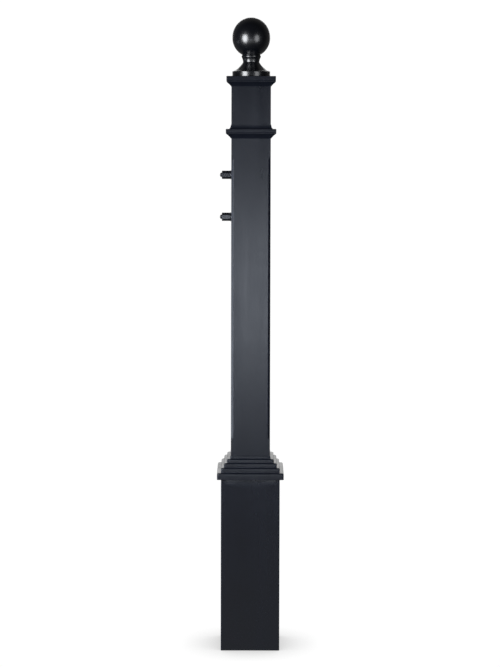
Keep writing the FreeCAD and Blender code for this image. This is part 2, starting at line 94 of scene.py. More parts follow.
BODY_OF = {node: body for body, nodes in frame["record"]["behaviour"]["bodies"].items() for node in nodes}


def size(label, amount, description):
    """A length, given in millimetres and kept in metres."""
    return bpy.props.FloatProperty(
        name=label, description=description, default=amount * MM, min=0.0, unit="LENGTH"
    )


def sizes(label, amounts, description):
    """Several lengths in one property, given in millimetres and kept in metres."""
    default = [amount * MM for amount in amounts]
    return bpy.props.FloatVectorProperty(
        name=label, description=description, default=default, size=len(default), min=0.0, unit="LENGTH"
    )


def degrees(label, amount, description):
    """An angle, given in degrees and kept in radians."""
    return bpy.props.FloatProperty(
        name=label, description=description, default=math.radians(amount), subtype="ANGLE"
    )


def share(label, default, description, top=1.0):
    """A plain number from nought to a top value."""
    return bpy.props.FloatProperty(name=label, description=description, default=default, min=0.0, max=top)


def colour(label, default, description):
    """A linear colour property."""
    return bpy.props.FloatVectorProperty(
        name=label, description=description, default=default, size=3, min=0.0, max=1.0, subtype="COLOR"
    )


# ---- sizes and colours ----
class ShaftSizes(bpy.types.PropertyGroup):
    """The square tube."""

    wall: size("Wall", 6.35, "Thickness of the tube's wall")
    arris: size("Arris", 0.6, "How far each long edge is cut back where it isn't chamfered")
    chamfer: size("Chamfer", 6.0, "Leg of the stop chamfers")
    chamfer_low: size("Chamfer foot", 554.5, "Height where the full chamfer starts")
    chamfer_high: size("Chamfer head", 1277.5, "Height where the full chamfer ends")
    ramp: size("Chamfer stop", 9.0, "Length of the slope that ends each chamfer")


class BaseSizes(bpy.types.PropertyGroup):
    """The base cover's box and its stepped crown."""

    wall: size("Box wall", 3.2, "Thickness of the box's sheet")
    fold: size("Box fold", 1.5, "How far the box's upright folds are cut back")
    shoulder: size("Shoulder", 17.0, "Height of the band under the crown where the box leans in")
    lean: size("Lean", 1.15, "How far the box leans in at its top")
    fade: size("Fade", 12.0, "Width beside each fold where the lean fades out")
    risers: sizes("Risers", (17.2, 12.0, 11.3, 9.6, 7.1), "Heights of the crown's steps")
    treads: sizes("Treads", (10.2, 7.5, 7.7, 8.6), "Depths of the crown's steps")
    nosing: size("Nosing", 4.2, "Radius of each step's outer edge")
    root: size("Root", 0.7, "How far the foot of each step is eased")
    lip: size("Lip", 1.8, "Radius of the top lip's outer edge")
    bore_gap: size("Bore gap", 0.4, "Sliding clearance round the shaft")
    skirt_gap: size("Skirt gap", 0.25, "Clearance between the skirt and the box")
    skirt_wall: size("Skirt wall", 6.0, "Thickness of the skirt inside the box")
    boss_wall: size("Boss wall", 4.2, "Thickness of the boss round the shaft")
    web: size("Web", 7.0, "Thickness left over the crown's hollow")


class MouldingSizes(bpy.types.PropertyGroup):
    """The collar and the cap, which share their lower mouldings."""

    fit: size("Fit", 0.25, "Clearance round the shaft and inside it")
    foot: size("Foot", 0.6, "Width of the splay's bottom edge")
    hollow: size("Hollow", 0.5, "How far the splay is hollowed")
    quirk: size("Quirk", 1.0, "Depth of the grooves beside the bead")
    edge: size("Edge", 1.0, "Radius of the fascia's top edge")
    collar: sizes("Collar", (12.0, 5.1, 7.4), "Heights of its splay, bead and fascia")
    cove: size("Cove", 5.6, "Width of the cove over the collar")
    cove_lip: size("Cove lip", 0.9, "Thickness of the cove's top edge")
    cap: sizes("Cap", (11.0, 5.1, 10.3), "Heights of its splay, bead and fascia")
    skirt_wall: size("Plug wall", 5.0, "Thickness of the cap's plug inside the shaft")


class FinialSizes(bpy.types.PropertyGroup):
    """The turned finial. Heights are from the cap's top."""

    ball_height: size("Ball half height", 51.4, "Half the ball's height")
    seat: size("Ball seat", 23.0, "Radius where the ball meets its neck ring")
    disc: size("Disc height", 13.4, "Height of the bottom disc")
    disc_round: size("Disc round", 1.6, "Radius of the disc's top edge")
    flare: sizes("Flare middle", (30.4, 25.0), "Radius and height of the flare's middle")
    waist: sizes("Waist", (21.3, 36.6), "Radius and height of the waist")
    neck: sizes("Neck top", (24.2, 48.6), "Radius and height of the neck's top")
    neck_hollow: size("Neck hollow", 0.6, "How far the neck is hollowed")
    ring: sizes("Neck ring", (25.2, 6.7), "Radius and height of the ring under the ball")
    hole: sizes("Tapped hole", (6.4, 30.0), "Radius and depth of the hole underneath")


class FastenerSizes(bpy.types.PropertyGroup):
    """The bracket studs, their washers and coupling nuts, and the small screws' holes."""

    thread_pitch: size("Pitch", 1.954, "Distance between two turns of the thread")
    thread_depth: size("Thread depth", 0.95, "Depth of the thread")
    thread_gap: size("Thread gap", 0.05, "Clearance between stud and nut")
    pilot: sizes("Pilot", (5.4, 4.6, 0.8, 1.9), "Its radius, length, bevel and dome")
    nut_bevel: size("Nut bevel", 1.2, "How far the nut's corners are turned off at its ends")
    washer_gap: size("Washer gap", 0.3, "Clearance between stud and washer")
    set_screw: size("Set screw", 3.0, "Radius of a set screw")
    pan_shank: size("Pan screw", 2.1, "Radius of a pan screw's shank")
    insert: size("Insert", 8.7, "Radius of an insert's barrel")
    weld_ripple: size("Weld ripple", 2.6, "Distance between two ripples of the weld")


class Finishes(bpy.types.PropertyGroup):
    """The colours of the five finishes, and how much lighter the first is painted on the box, as painted
    light.
    """

    satin: colour("Satin paint", (0.0076, 0.0096, 0.0160), "Satin black paint on the shaft and castings")
    # painted light: the box gets a copy of the satin paint painted lighter, standing in for light on its
    # faces
    box: share("Box", 1.12, "How much lighter the box is than the rest of the satin paint", 5.0)
    gloss: colour("Gloss paint", (0.0024, 0.0032, 0.0056), "Gloss black paint on the finial")
    hardware: colour("Hardware", (0.010, 0.0115, 0.016), "Black finish of the studs, nuts and washers")
    zinc: colour("Zinc", (0.60, 0.61, 0.64), "Zinc plating of the hidden fasteners")
    primer: colour("Primer", (0.09, 0.09, 0.10), "Grey primer of the anchor plate and its weld")


class Studio(bpy.types.PropertyGroup):
    """The camera, the lights' powers and the brightness of the room."""

    distance: size("Camera distance", 5150.0, "Distance from the post's middle to the camera")
    height: size("Camera height", 1391.75, "Height of the camera")
    tilt: degrees("Camera tilt", 4.0013, "How far the camera looks down")
    roll: degrees("Camera roll", 0.127, "How far the camera leans")
    lens: bpy.props.FloatProperty(name="Lens", description="Focal length", default=106.87, unit="CAMERA")
    shift: bpy.props.FloatVectorProperty(
        name="Shift", description="Sideways and upward shift of the view", default=(-0.0012, -0.12), size=2
    )
    left: share("Left light", 41.0, "Power of the large light at the front left", 1000.0)
    right: share("Right light", 8.0, "Power of the light at the front right", 1000.0)
    low: share("Low light", 0.67, "Power of the low light in front", 1000.0)
    side: share("Side light", 1.0, "Power of the low light at the left", 1000.0)
    white: share("White", 1.03, "Brightness of the floor and backdrop as seen directly", 50.0)
    backdrop: share("Backdrop", 1.5, "Brightness of the backdrop in reflections", 50.0)
    room: share("Room", 0.02, "Brightness of the room in front in reflections", 50.0)
    ground: share("Ground", 0.5, "Brightness of the floor in reflections", 50.0)
    behind: share("Behind", 0.08, "Brightness of the room behind in reflections", 50.0)


# ---- outlines ----
def corner(out, height, radius=0.0):
    """One outline row: distance from the axis, height, and how far the corner is eased."""
    return np.array([[out, height, radius]])


def arc(first, middle, last, steps=10):
    """A run of outline rows along the circle through three points.

    With the points as complex numbers a, m, b and w = (b - a) / (m - a), the circle's centre is
    a + (m - a)(w - |w|^2) / (2i Im w), and a point is the centre plus (a - centre) turned by a
    share of the angle from a to b.
    """
    a, m, b = (complex(*spot) for spot in (first, middle, last))
    w = (b - a) / (m - a)
    centre = a + (m - a) * (w - abs(w) ** 2) / (2j * w.imag)
    turn = cmath.phase((b - centre) / (a - centre))
    spots = centre + (a - centre) * np.exp(1j * turn * np.linspace(0, 1, steps + 1))
    return np.column_stack([spots.real, spots.imag, np.zeros(steps + 1)])


def nosing(out, height, radius, steps=8):
    """A quarter circle that turns a rising face into a level top."""
    lean = radius * (1 - math.sqrt(0.5))
    return arc((out, height - radius), (out - lean, height - lean), (out - radius, height), steps)


def eased(runs, steps=4, hold=HOLD):
    """Rounds an outline's corners.

    A corner P with eased ends S and E, a radius back along its two sides, becomes the parabola
    (1 - t)^2 S + 2t(1 - t) P + t^2 E. A row just beyond each end keeps the sides flat. Gives the
    rows of (out, height), and 1 for each row on an eased corner and 0 elsewhere.
    """
    rows = np.concatenate(runs)
    spots, radius = rows[:, :2], rows[:, 2:]
    t = np.linspace(0, 1, steps + 1)[None, :, None]
    ends, holds = [], []
    for step in (1, -1):
        side = np.roll(spots, step, axis=0) - spots
        length = np.maximum(np.linalg.norm(side, axis=1, keepdims=True), 1e-9)
        reach = np.minimum(radius, 0.45 * length)
        beyond = np.minimum(reach + hold, 0.48 * length)
        ends.append(spots + side / length * reach)
        holds.append(spots + side / length * np.where(radius > 0, beyond, 0))
    start, end = ends[0][:, None], ends[1][:, None]
    curve = (1 - t) ** 2 * start + 2 * t * (1 - t) * spots[:, None] + t**2 * end
    every = np.concatenate([holds[0][:, None], curve, holds[1][:, None]], axis=1)
    on_edge = np.zeros(every.shape[:2])
    on_edge[:, 1:-1] = radius > 0
    every, on_edge = every.reshape(-1, 2), on_edge.ravel()
    keep = np.linalg.norm(every - np.roll(every, 1, axis=0), axis=1) > 2e-7
    return every[keep], on_edge[keep]


# ---- surfaces ----
def surface(name, grid, wear=None, closed=True):
    """An object whose faces join neighbouring points of a grid.

    Columns always close on themselves, and rows do if closed. Points in one place become one
    vertex, so a row that shrinks to a point is a pole of triangles.
    """
    rows, columns = grid.shape[:2]
    i, j = np.meshgrid(np.arange(rows if closed else rows - 1), np.arange(columns), indexing="ij")
    i, j = i.ravel(), j.ravel()
    above, beside = (i + 1) % rows, (j + 1) % columns
    quads = np.stack(
        [i * columns + j, i * columns + beside, above * columns + beside, above * columns + j], axis=1
    )
    spots = grid.reshape(-1, 3)
    _, first, place = np.unique(np.round(spots, 7), axis=0, return_index=True, return_inverse=True)
    quads = place.ravel()[quads]
    low_pole, high_pole = quads[:, 0] == quads[:, 1], quads[:, 2] == quads[:, 3]
    faces = quads[~low_pole & ~high_pole].tolist()
    faces += quads[low_pole & ~high_pole][:, 1:].tolist()
    faces += quads[high_pole & ~low_pole][:, :3].tolist()
    mesh = bpy.data.meshes.new(name)
    mesh.from_pydata(spots[first].tolist(), [], faces)
    worn = np.zeros(rows * columns) if wear is None else np.broadcast_to(wear, (rows, columns)).ravel()
    mesh.attributes.new("wear", "FLOAT", "POINT").data.foreach_set("value", worn[first].astype(np.float32))
    mesh.shade_smooth()
    piece = bpy.data.objects.new(name, mesh)
    bpy.context.scene.collection.objects.link(piece)
    return piece


def square_ring(half, cut, ease, face_steps=2, steps=4, hold=HOLD):
    """Level sections of a square bar with each corner cut at 45 degrees, one row for each level.

    From the +X face to the +Y face, a corner's points lie in from the full square by
    x = e t^2 / sqrt 2 and y = c + e((1 - t)^2 - t^2 / sqrt 2), then by the same with x and y
    swapped, where c is the cut and e the ease. Evenly spaced points then cross the face, and
    quarter turns give the other sides. Gives x, y and 1 on the corners and 0 on the faces.
    """
    t = np.linspace(0, 1, steps + 1)[None, :]
    half, cut = np.asarray(half)[:, None], np.broadcast_to(cut, len(half))[:, None]
    ease = np.minimum(ease, 0.66 * cut)
    x_in = ease * t**2 / math.sqrt(2)
    y_in = cut + ease * ((1 - t) ** 2 - t**2 / math.sqrt(2))
    reach = cut + ease + hold
    nought = np.zeros_like(reach)
    x_in, y_in = [nought, x_in, y_in[:, ::-1], reach], [reach, y_in, x_in[:, ::-1], nought]
    x_in, y_in = np.hstack(x_in), np.hstack(y_in)
    across = np.linspace(1, -1, face_steps + 1)[None, 1:-1]
    x = np.hstack([half - x_in, (half - reach) * across])
    y = np.hstack([half - y_in, half + 0 * across])
    on_corner = np.zeros(x.shape)
    on_corner[:, 1 : x_in.shape[1] - 1] = 1
    x, y = np.hstack([x, -y, -x, y]), np.hstack([y, x, -y, -x])
    return x, y, np.tile(on_corner, 4)


def square_moulding(name, runs, cut=0.6 * MM, ease=0.4 * MM, face_steps=2, bend=None):
    """An outline of half widths and heights, carried round a square whose corners are eased.

    cut may be a function of half width and height, and bend a function that moves the grid's points.
    """
    outline, on_edge = eased(runs)
    half, height = outline.T
    x, y, on_corner = square_ring(half, cut(half, height) if callable(cut) else cut, ease, face_steps)
    grid = np.stack([x, y, np.broadcast_to(height[:, None], x.shape)], axis=2)
    wear = np.maximum(on_corner, on_edge[:, None])
    return surface(name, bend(grid) if bend else grid, wear)


def turned(name, runs, columns=192, closed=False):
    """A surface of revolution: the point (r cos a, r sin a, h) for each outline row (r, h) and angle a."""
    outline, on_edge = eased(runs)
    angle = np.linspace(0, 2 * math.pi, columns, endpoint=False)[None, :]
    radius, height = outline[:, :1], outline[:, 1:]
    grid = np.stack([radius * np.cos(angle), radius * np.sin(angle), height + 0 * angle], axis=2)
    return surface(name, grid, on_edge[:, None], closed)


def facing_out(radius, along, angle, start):
    """Grid points round an axis that runs along -X from a start point: (-w, r sin a, r cos a)."""
    places = np.broadcast_arrays(-along, radius * np.sin(angle), radius * np.cos(angle))
    return np.stack(places, axis=2) + np.asarray(start)


def thread_wave(along, angle, pitch):
    """0 on the crests and 1 in the roots of a right-hand thread.

    The phase is along / pitch - angle / 2 pi, and the wave is its distance from a crest, as a
    share of half a turn, with a flat on each crest and root.
    """
    phase = (along / pitch - angle / (2 * math.pi)) % 1
    return np.clip((np.abs(2 * phase - 1) - FLAT_SHARE) / (1 - 2 * FLAT_SHARE), 0, 1)


def bored(piece, holes):
    """Cuts round holes in a closed piece.

    A hole is a radius, a middle point, its axis (X or Y) and a length.
    """
    turns = {"X": Matrix.Rotation(math.pi / 2, 4, "Y"), "Y": Matrix.Rotation(math.pi / 2, 4, "X")}
    for radius, middle, axis, length in holes:
        half = length / 2
        ends = ((0, -half), (radius, -half), (radius, half), (0, half))
        drill = turned("drill", [corner(*spot) for spot in ends], 48)
        drill.data.transform(Matrix.Translation(middle) @ turns[axis])
        cutter = piece.modifiers.new("bore", "BOOLEAN")
        cutter.operation = "DIFFERENCE"
        cutter.object = drill
        with bpy.context.temp_override(object=piece, active_object=piece):
            bpy.ops.object.modifier_apply(modifier=cutter.name)
        bpy.data.objects.remove(drill)
    piece.data.set_sharp_from_angle(angle=math.radians(35))


def stand_for(piece, node, finish=None):
    """Gives a piece the finish and the body of the node it stands for."""
    piece.data.materials.append(bpy.data.materials[finish or SLOT_OF[node]])
    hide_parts(node)
    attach(piece, BODY_OF[node])


def screw_holes(radius, face, wall, node):
    """The holes of a node's two screws, right through a wall whose outer face looks towards +Y."""
    low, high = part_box("crown_set_screws")
    offset = (high[0] - low[0]) / 2 - (high[2] - low[2]) / 2
    length = 2 * OVERSHOOT * wall
    return [(radius, (x, face, middle_height(node)), "Y", length) for x in (-offset, offset)]


def middle_height(node):
    """The height of a node's middle."""
    low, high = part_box(node)
    return (low[2] + high[2]) / 2


# ---- finishes ----
class Nodes:
    """A small helper that adds and links the nodes of a new material, or of a world."""

    def __init__(self, owner):
        if isinstance(owner, str):
            owner = bpy.data.materials.get(owner) or bpy.data.materials.new(owner)
        owner.use_nodes = True
        self.tree = owner.node_tree
        self.tree.nodes.clear()
        coordinates = self.add("ShaderNodeTexCoord").outputs
        self.place, self.generated = coordinates["Object"], coordinates["Generated"]

    def add(self, kind, inputs=(), **settings):
        """A node with its settings, and its inputs set to values or linked to outputs."""
        node = self.tree.nodes.new(kind)
        for key, value in settings.items():
            setattr(node, key, value)
        for key, value in dict(inputs).items():
            if isinstance(value, bpy.types.NodeSocket):
                self.tree.links.new(value, node.inputs[key])
            else:
                node.inputs[key].default_value = value
        return node

    def noise(self, scale, detail=3.0, stretch=(1, 1, 1), roughness=0.55):
        """A noise pattern on the object's own coordinates, in turns per metre."""
        spread = self.add("ShaderNodeMapping", {"Vector": self.place, "Scale": stretch}).outputs[0]
        inputs = {"Vector": spread, "Scale": scale, "Detail": detail, "Roughness": roughness}
        return self.add("ShaderNodeTexNoise", inputs).outputs["Fac"]

    def between(self, value, low, high, start=0.0, stop=1.0):
        """A value carried from one range to another, and kept inside it."""
        inputs = {"Value": value, "From Min": start, "From Max": stop, "To Min": low, "To Max": high}
        return self.add("ShaderNodeMapRange", inputs).outputs[0]

    def math(self, operation, first, second):
        """The result of one operation on two values."""
        return self.add("ShaderNodeMath", {0: first, 1: second}, operation=operation).outputs[0]

    def mix(self, share_of_second, first, second):
        """A mix of two colours."""
        inputs = {0: share_of_second, 6: first, 7: second}
        return self.add("ShaderNodeMix", inputs, data_type="RGBA").outputs[2]

    def finish(self, colour, roughness, bumps, **sockets):
        """The shader and the output. bumps are pairs of a height in metres and a pattern."""
        normal = None
        for height, pattern in bumps:
            inputs = {"Height": pattern, "Distance": height, "Strength": 1.0}
            if normal:
                inputs["Normal"] = normal
            normal = self.add("ShaderNodeBump", inputs).outputs[0]
        inputs = {"Base Color": colour, "Roughness": roughness, "Normal": normal}
        inputs.update({key.replace("_", " "): value for key, value in sockets.items()})
        shader = self.add("ShaderNodeBsdfPrincipled", inputs)
        self.add("ShaderNodeOutputMaterial", {"Surface": shader.outputs[0]})


def shade(colour, factor):
    """A colour made lighter or darker, with its alpha."""
    return [min(1.0, part * factor) for part in colour] + [1.0]


def satin_black_paint(colour, name="satin_black_paint", shine=(0.27, 0.35)):
    """Satin paint: faint draw lines up the metal, a fine orange peel, and rubbed edges.

    shine is the roughness where the paint is smoothest and where it is dullest.
    """
    nodes = Nodes(name)
    cloud = nodes.noise(9.0, 4.0)
    streak = nodes.noise(34.0, 3.0, (1, 1, 0.035))
    peel = nodes.noise(520.0, 2.0)
    wear = nodes.add("ShaderNodeAttribute", attribute_name="wear").outputs["Fac"]
    patchy = nodes.math("MULTIPLY", wear, nodes.between(nodes.noise(70.0, 4.0), 0.25, 0.9, 0.35, 0.7))
    tone = nodes.mix(nodes.between(cloud, 0.0, 1.0, 0.3, 0.7), shade(colour, 0.88), shade(colour, 1.14))
    tone = nodes.mix(nodes.between(streak, 0.0, 0.35, 0.4, 0.72), tone, shade(colour, 1.5))
    tone = nodes.mix(patchy, tone, shade(colour, 2.6))
    rough = nodes.between(nodes.math("ADD", streak, cloud), *shine, 0.7, 1.3)
    nodes.finish(tone, rough, [(0.00006, peel), (0.00012, streak)], Specular_IOR_Level=0.5)


def gloss_black_paint(colour):
    """Gloss paint on a casting: a deep even black with a slow ripple in its shine and a few specks."""
    nodes = Nodes("gloss_black_paint")
    cloud = nodes.noise(14.0, 3.0)
    ripple = nodes.noise(95.0, 2.0)
    specks = nodes.noise(900.0, 1.0)
    tone = nodes.mix(nodes.between(cloud, 0.0, 1.0, 0.3, 0.7), shade(colour, 0.85), shade(colour, 1.2))
    tone = nodes.mix(nodes.between(specks, 0.0, 0.5, 0.7, 0.8), tone, shade(colour, 4.0))
    rough = nodes.between(ripple, 0.25, 0.29, 0.3, 0.7)
    bumps = [(0.00004, ripple), (0.00001, specks)]
    nodes.finish(tone, rough, bumps, Specular_IOR_Level=0.9, Coat_Weight=0.8, Coat_Roughness=0.24)


def black_hardware(colour):
    """Black steel hardware: an oily shine, finely scuffed, with bare metal just showing in the scuffs."""
    nodes = Nodes("black_hardware")
    scuff = nodes.noise(240.0, 4.0, (1, 0.25, 1))
    cloud = nodes.noise(60.0, 3.0)
    tone = nodes.mix(nodes.between(cloud, 0.0, 1.0, 0.3, 0.7), shade(colour, 0.8), shade(colour, 1.4))
    tone = nodes.mix(nodes.between(scuff, 0.0, 0.5, 0.6, 0.8), tone, shade(colour, 4.0))
    rough = nodes.between(scuff, 0.2, 0.36, 0.35, 0.7)
    nodes.finish(tone, rough, [(0.00003, scuff)], Specular_IOR_Level=0.6)


def zinc_plated_steel(colour):
    """Zinc plating: bright metal with cloudy spangles and fine scratches."""
    nodes = Nodes("zinc_plated_steel")
    inputs = {"Vector": nodes.place, "Scale": 420.0}
    spangle = nodes.add("ShaderNodeTexVoronoi", inputs).outputs["Distance"]
    scratch = nodes.noise(900.0, 3.0, (1, 1, 0.1))
    tone = nodes.mix(nodes.between(spangle, 0.0, 1.0, 0.1, 0.7), shade(colour, 0.72), shade(colour, 1.1))
    rough = nodes.between(scratch, 0.24, 0.45, 0.3, 0.7)
    nodes.finish(tone, rough, [(0.00002, scratch)], Metallic=1.0)


def cast_aluminium(colour):
    """Grey primer over rough metal: sandy grain, blotches and pale rubbed spots."""
    nodes = Nodes("cast_aluminium")
    grain = nodes.noise(700.0, 4.0)
    blotch = nodes.noise(22.0, 5.0)
    tone = nodes.mix(nodes.between(blotch, 0.0, 1.0, 0.3, 0.7), shade(colour, 0.7), shade(colour, 1.35))
    tone = nodes.mix(nodes.between(grain, 0.0, 0.4, 0.6, 0.8), tone, shade(colour, 2.4))
    rough = nodes.between(blotch, 0.5, 0.7, 0.3, 0.7)
    nodes.finish(tone, rough, [(0.00012, grain)], Metallic=0.0)


class POST_OT_finishes(bpy.types.Operator):
    """Makes the finishes, and gives each solid of the frame the one of its slot."""

    bl_idname = "post.finishes"
    bl_label = "Finishes"

    def execute(self, context):
        chosen = context.scene.post_finishes
        satin_black_paint(chosen.satin)
        # painted light: a lighter copy of the satin paint for the box, with a smoother shine
        box_lit_colour = shade(chosen.satin, chosen.box)[:3]
        satin_black_paint(box_lit_colour, "smooth_black_paint", (0.2, 0.25))
        gloss_black_paint(chosen.gloss)
        black_hardware(chosen.hardware)
        zinc_plated_steel(chosen.zinc)
        cast_aluminium(chosen.primer)
        for node, solid in frame["nodes"].items():
            for slot in solid.material_slots:
                slot.material = bpy.data.materials[SLOT_OF[node]]
        return {"FINISHED"}


# ---- the post ----
def tube_outline(half, bore, low, high, levels, foot_ease):
    """The outline of a square tube's wall, with a row on its outer face at each of some levels."""
    face = np.column_stack([np.full(levels.size, half), levels, np.zeros(levels.size)])
    return [
        corner(half, low, foot_ease),
        face,
        corner(half, high, BREAK),
        corner(bore, high, BREAK),
        corner(bore, low, BREAK),
    ]


class POST_OT_shaft(bpy.types.Operator):
    """The square tube, with stop chamfers on its long edges and its fasteners' holes."""

    bl_idname = "post.shaft"
    bl_label = "Shaft"

    def execute(self, context):
        sizes = context.scene.post_shaft
        fasteners = context.scene.post_fasteners
        half, low, high = SHAFT_HIGH[0], SHAFT_LOW[2], SHAFT_HIGH[2]
        bore = half - sizes.wall
        rise = np.linspace(0, sizes.ramp, 9)
        levels = np.concatenate([sizes.chamfer_low - rise[::-1], sizes.chamfer_high + rise])
        runs = tube_outline(half, bore, low, high, levels, BREAK)

        def chamfer(out, height):
            """The corner's cut: the arris, then a ramp up to the full chamfer and down again."""
            inside = np.minimum(height - sizes.chamfer_low, sizes.chamfer_high - height)
            ramp = np.clip(1 + inside / sizes.ramp, 0, 1)
            full = sizes.arris + (sizes.chamfer - sizes.arris) * ramp
            return np.where(out > (half + bore) / 2, full, 0.5 * MM)

        shaft = square_moulding("shaft", runs, chamfer, 0.6 * MM)
        heights = [middle_height(side + "_mounting_stud") for side in STUD_SIDES]
        through = 2 * OVERSHOOT * sizes.wall
        holes = [(fasteners.insert, (-half, 0, height), "X", through) for height in heights]
        bored(shaft, holes + screw_holes(fasteners.pan_shank, half, sizes.wall, "cap_screws"))
        stand_for(shaft, "shaft_tube")
        return {"FINISHED"}


class POST_OT_weld(bpy.types.Operator):
    """The weld round the shaft's foot: a rippled bead that turns round each corner on a fan.

    Its section is a right triangle of two equal legs, which are the weld's height times
    1 - 0.1 sqrt((1 + cos w) / 2), where w goes through whole turns over the bead's length.
    """

    bl_idname = "post.weld"
    bl_label = "Weld"

    def execute(self, context):
        half, low = SHAFT_HIGH[0], WELD_LOW[2]
        leg = WELD_HIGH[2] - low
        ripple = context.scene.post_fasteners.weld_ripple
        run, turn = np.linspace(-1, 1, 121), np.linspace(0, math.pi / 2, 17)
        x = np.concatenate([np.full(run.size, half), np.full(turn.size, half)])
        y = np.concatenate([half * run, np.full(turn.size, half)])
        lean = np.concatenate([np.zeros(run.size), turn])
        x, y = np.concatenate([x, -y, -x, y]), np.concatenate([y, x, -y, -x])
        lean = np.concatenate([lean + quarter * math.pi / 2 for quarter in range(4)])
        step = np.hypot(np.diff(x, append=x[0]), np.diff(y, append=y[0]))
        step += leg / 2 * np.diff(lean, append=lean[-1])
        travelled = np.concatenate([[0], np.cumsum(step)[:-1]])
        turns = max(1, round(travelled[-1] / ripple))
        wave = 0.5 + 0.5 * np.cos(2 * math.pi * turns * travelled / travelled[-1])
        fill = 1 - 0.1 * np.sqrt(wave)
        across = np.linspace(0, 1, 9)[:, None]
        out = np.vstack([leg * (1 - across) * fill, 0 * fill])
        up = np.vstack([leg * across * fill, 0 * fill])
        grid = np.stack([x + out * np.cos(lean), y + out * np.sin(lean), low + up], axis=2)
        stand_for(surface("weld", grid), "base_weld")
        return {"FINISHED"}


class POST_OT_base_box(bpy.types.Operator):
    """The base cover's box of folded sheet, which leans in a little under the crown."""

    bl_idname = "post.base_box"
    bl_label = "Base box"

    def execute(self, context):
        sizes = context.scene.post_base
        half, top = BOX_HIGH[0], BOX_HIGH[2]
        bore = half - sizes.wall
        levels = top - sizes.shoulder * np.linspace(1.6, 0.02, 26)
        runs = tube_outline(half, bore, BOX_LOW[2], top, levels, 0.4 * MM)

        def lean_in(grid):
            """Each outer face moves in by lean * s^1.3 and less towards the folds.

            s runs from 0 to 1 up a shoulder that sags to 0.8 + 0.5 cos(pi a / 2) of its height at a
            share a of the way from the face's middle to its fold.
            """
            x, y, height = np.moveaxis(grid, 2, 0)
            out, along = np.maximum(np.abs(x), np.abs(y)), np.minimum(np.abs(x), np.abs(y))
            sag = sizes.shoulder * (0.8 + 0.5 * np.cos(math.pi * along / (2 * half)))
            climb = np.clip((height - top + sag) / sag, 0, 1)
            fade = np.clip((half - along) / sizes.fade, 0, 1)
            inward = sizes.lean * climb**1.3 * fade * (out > (half + bore) / 2)
            on_x = np.abs(x) >= np.abs(y)
            grid[..., 0] -= np.sign(x) * inward * on_x
            grid[..., 1] -= np.sign(y) * inward * ~on_x
            return grid

        def fold(out, height):
            """The corner's cut, outside and inside."""
            return np.where(out > (half + bore) / 2, sizes.fold, BREAK)

        box = square_moulding("base_box_sheet", runs, fold, 1.0 * MM, 24, lean_in)
        shank = context.scene.post_fasteners.pan_shank
        bored(box, screw_holes(shank, half, sizes.wall, "box_screws"))
        # the box takes the lighter copy of the satin paint, which is painted light
        stand_for(box, "base_box", "smooth_black_paint")
        return {"FINISHED"}


class POST_OT_base_crown(bpy.types.Operator):
    """The base cover's stepped crown, hollow underneath, with a skirt in the box and a boss."""

    bl_idname = "post.base_crown"
    bl_label = "Base crown"

    def execute(self, context):
        sizes = context.scene.post_base
        fasteners = context.scene.post_fasteners
        half, seat, top, foot = CROWN_HIGH[0], BOX_HIGH[2], CROWN_HIGH[2], CROWN_LOW[2]
        bore = SHAFT_HIGH[0] + sizes.bore_gap
        skirt = BOX_HIGH[0] - sizes.wall - sizes.skirt_gap
        runs = [corner(half, seat, sizes.root)]
        out, height = half, seat
        for riser, tread in zip(sizes.risers, sizes.treads):
            height += riser
            runs.append(nosing(out, height, sizes.nosing))
            out -= tread
            runs.append(corner(out, height, sizes.root))
        runs += [
            nosing(out, top, sizes.lip),
            corner(bore, top, BREAK),
            corner(bore, foot, BREAK),
            corner(bore + sizes.boss_wall, foot, BREAK),
            corner(bore + sizes.boss_wall, seat + sizes.risers[0] - sizes.web, 0.8 * MM),
            corner(skirt - sizes.skirt_wall, seat + sizes.risers[0] - sizes.web, 0.8 * MM),
            corner(skirt - sizes.skirt_wall, foot, BREAK),
            corner(skirt, foot, 0.4 * MM),
            corner(skirt, seat, 0.2 * MM),
        ]

        def rounding(out, height):
            """The outer corners are rounder than those inside and at the foot."""
            outer = (height > seat - 0.1 * MM) & (out > bore + 0.6 * MM)
            return np.where(outer, CORNER_SHARE * sizes.nosing, 0.5 * MM)

        crown = square_moulding("crown", runs, rounding, CORNER_EASE * sizes.nosing)
        riser_face = half - sum(sizes.treads[:3])
        holes = screw_holes(fasteners.set_screw, riser_face, riser_face - bore, "crown_set_screws")
        holes += screw_holes(fasteners.pan_shank, skirt, sizes.skirt_wall, "box_screws")
        bored(crown, holes)
        stand_for(crown, "base_crown")
        return {"FINISHED"}


def lower_mouldings(sizes, half, bottom, splay, bead):
    """The outline the collar and the cap share: a hollow splay, then a bead between two quirks."""
    foot = SHAFT_HIGH[0] + sizes.fit + sizes.foot
    inner = half - sizes.quirk
    middle = ((foot + inner) / 2 - sizes.hollow, bottom + splay / 2 + sizes.hollow)
    bead_top = bottom + splay + bead
    return [
        corner(foot, bottom, 0.2 * MM),
        arc((foot, bottom), middle, (inner, bottom + splay))[1:],
        arc((inner, bottom + splay), (half, bottom + splay + bead / 2), (inner, bead_top))[1:],
        corner(half, bead_top, 0.25 * MM),
    ]


